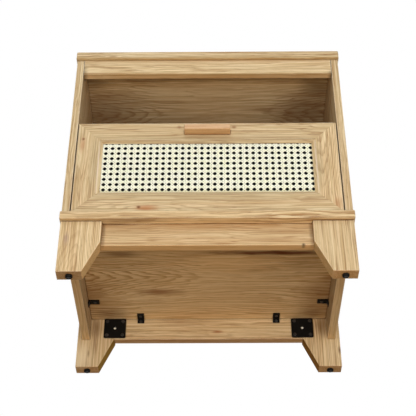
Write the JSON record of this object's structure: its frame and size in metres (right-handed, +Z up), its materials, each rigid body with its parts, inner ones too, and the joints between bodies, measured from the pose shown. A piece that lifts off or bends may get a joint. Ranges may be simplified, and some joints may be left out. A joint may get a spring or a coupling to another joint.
{
  "type": "nightstand",
  "caption": "Oak-look nightstand with an open niche above a cane-fronted drawer on ball-bearing slides, in a board carcass on tapered board legs.",
  "frame": {"origin": "on the floor, under the centre of the box around the whole object, pull included", "axes": "+Z up, +X to the right as seen from the front, -Y out of the front, where the drawer opens"},
  "size_m": [0.557, 0.392, 0.57],
  "materials": {
    "oak_board": "satin oak laminate",
    "back_board": "printed fibreboard",
    "drawer_board": "satin oak laminate",
    "pull_wood": "oiled beech",
    "plain_wood": "raw",
    "cane": "natural cane",
    "black_backing": "matt black",
    "black_metal": "black coat",
    "slide_steel": "zinc plated",
    "cage_steel": "zinc plated",
    "zinc_fitting": "die cast",
    "bright_screw": "zinc plated",
    "black_plastic": "moulded"
  },
  "bodies": {
    "cabinet": {"top_board": "oak_board", "left_side_panel": "oak_board", "right_side_panel": "oak_board", "base_board": "oak_board", "niche_shelf": "oak_board", "top_front_rail": "oak_board", "front_left_leg": "oak_board", "front_right_leg": "oak_board", "rear_left_leg": "oak_board", "rear_right_leg": "oak_board", "front_apron": "oak_board", "rear_apron": "oak_board", "left_apron": "oak_board", "right_apron": "oak_board", "back_panel": "back_board", "wood_dowels": "plain_wood", "front_left_plate": "black_metal", "front_right_plate": "black_metal", "rear_left_plate": "black_metal", "rear_right_plate": "black_metal", "front_left_bracket": "black_metal", "front_right_bracket": "black_metal", "rear_left_bracket": "black_metal", "rear_right_bracket": "black_metal", "left_bracket": "black_metal", "right_bracket": "black_metal", "plate_screws": "black_metal", "bracket_screws": "black_metal", "left_slide_outer": "slide_steel", "right_slide_outer": "slide_steel", "cam_locks": "zinc_fitting", "cam_bolts": "zinc_fitting", "cabinet_slide_screws": "bright_screw", "foot_glides": "black_plastic"},
    "drawer": {"drawer_top_rail": "oak_board", "drawer_bottom_rail": "oak_board", "drawer_left_stile": "oak_board", "drawer_right_stile": "oak_board", "cane_webbing": "cane", "cane_backing": "black_backing", "cane_strips": "plain_wood", "pull_bar": "pull_wood", "pull_screws": "bright_screw", "drawer_left_side": "drawer_board", "drawer_right_side": "drawer_board", "drawer_back": "drawer_board", "drawer_bottom": "drawer_board", "drawer_cam_locks": "zinc_fitting", "drawer_cam_bolts": "zinc_fitting", "drawer_back_screws": "bright_screw", "left_slide_inner": "slide_steel", "right_slide_inner": "slide_steel", "drawer_slide_screws": "bright_screw"},
    "left_middle": {"left_slide_middle": "slide_steel"},
    "right_middle": {"right_slide_middle": "slide_steel"},
    "left_outer_cage": {"left_outer_ball_cage": "cage_steel"},
    "right_outer_cage": {"right_outer_ball_cage": "cage_steel"},
    "left_inner_cage": {"left_inner_ball_cage": "cage_steel"},
    "right_inner_cage": {"right_inner_ball_cage": "cage_steel"}
  },
  "joints": [
    {"name": "drawer_slide", "type": "slide", "parent": "cabinet", "child": "drawer", "axis": [0, -1, 0], "range_m": [0, 0.3]},
    {"name": "left_middle_slide", "type": "slide", "parent": "cabinet", "child": "left_middle", "axis": [0, -1, 0], "range_m": [0, 0.15]},
    {"name": "right_middle_slide", "type": "slide", "parent": "cabinet", "child": "right_middle", "axis": [0, -1, 0], "range_m": [0, 0.15]},
    {"name": "left_outer_cage_slide", "type": "slide", "parent": "cabinet", "child": "left_outer_cage", "axis": [0, -1, 0], "range_m": [0, 0.075]},
    {"name": "right_outer_cage_slide", "type": "slide", "parent": "cabinet", "child": "right_outer_cage", "axis": [0, -1, 0], "range_m": [0, 0.075]},
    {"name": "left_inner_cage_slide", "type": "slide", "parent": "cabinet", "child": "left_inner_cage", "axis": [0, -1, 0], "range_m": [0, 0.225]},
    {"name": "right_inner_cage_slide", "type": "slide", "parent": "cabinet", "child": "right_inner_cage", "axis": [0, -1, 0], "range_m": [0, 0.225]}
  ],
  "couplings": [
    {"joint": "left_middle_slide", "follows": "drawer_slide", "ratio": 0.5},
    {"joint": "right_middle_slide", "follows": "drawer_slide", "ratio": 0.5},
    {"joint": "left_outer_cage_slide", "follows": "drawer_slide", "ratio": 0.25},
    {"joint": "right_outer_cage_slide", "follows": "drawer_slide", "ratio": 0.25},
    {"joint": "left_inner_cage_slide", "follows": "drawer_slide", "ratio": 0.75},
    {"joint": "right_inner_cage_slide", "follows": "drawer_slide", "ratio": 0.75}
  ]
}
